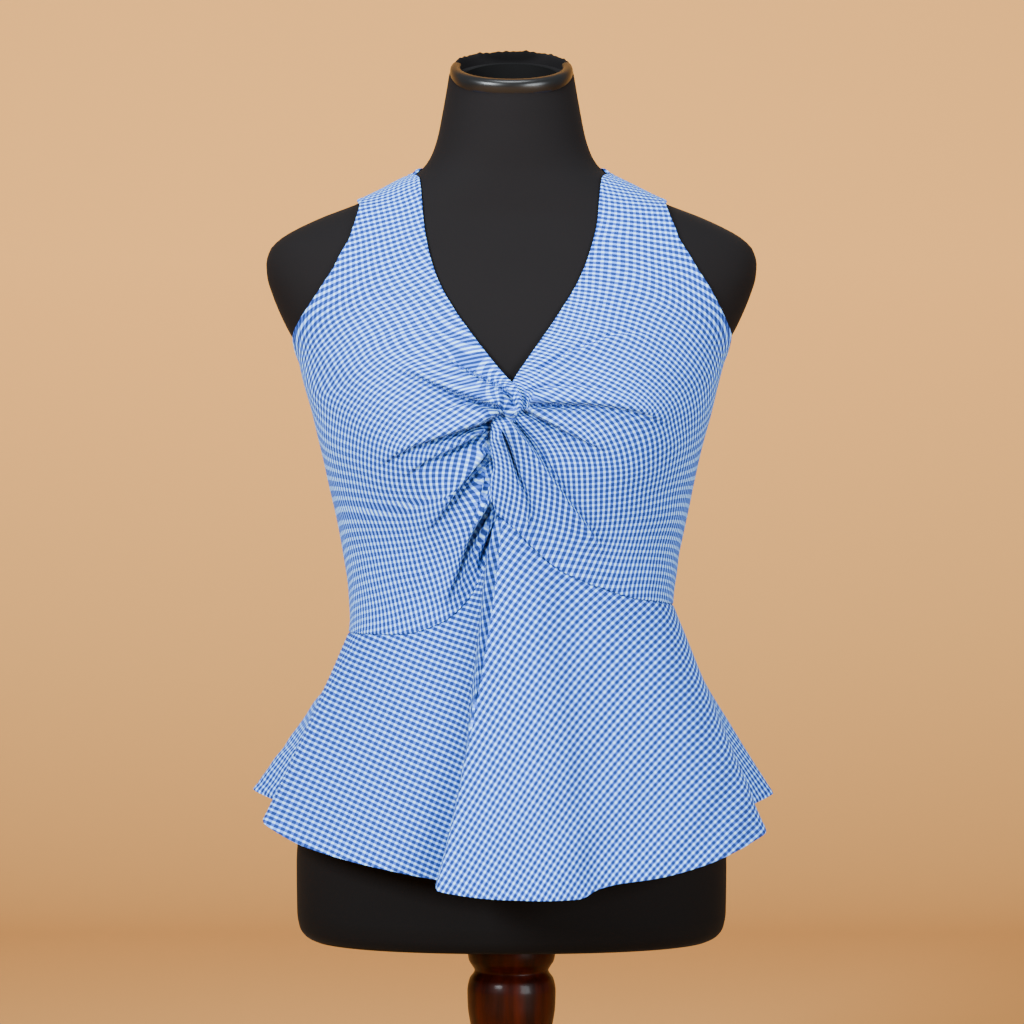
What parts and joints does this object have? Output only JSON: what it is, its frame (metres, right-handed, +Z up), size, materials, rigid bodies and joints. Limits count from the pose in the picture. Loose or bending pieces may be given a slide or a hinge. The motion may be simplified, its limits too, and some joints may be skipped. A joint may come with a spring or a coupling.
{
  "type": "halter neck top on a dress form",
  "caption": "Halter-neck gingham top with a twisted V front and a flared peplum, worn by a limbless black dress form on a short turned wooden stand.",
  "frame": {"origin": "centre of the foot's underside, on the surface that the stand rests on", "axes": "+Z up, -Y towards the front of the garment, +X towards the wearer's left"},
  "size_m": [0.4255, 0.381, 0.94],
  "materials": {
    "gingham": "woven cotton in a small blue and white check",
    "jersey": "black stretch jersey, matt",
    "ring": "moulded, semi-gloss",
    "wood": "turned, dark brown varnish"
  },
  "bodies": {
    "root": {"front_right": "gingham", "front_left": "gingham", "back_bodice": "gingham", "neck_band": "gingham", "peplum_front": "gingham", "peplum_back": "gingham", "dress_form": "jersey", "neck_ring": "ring", "stand_post": "wood", "stand_foot": "wood"}
  },
  "joints": []
}
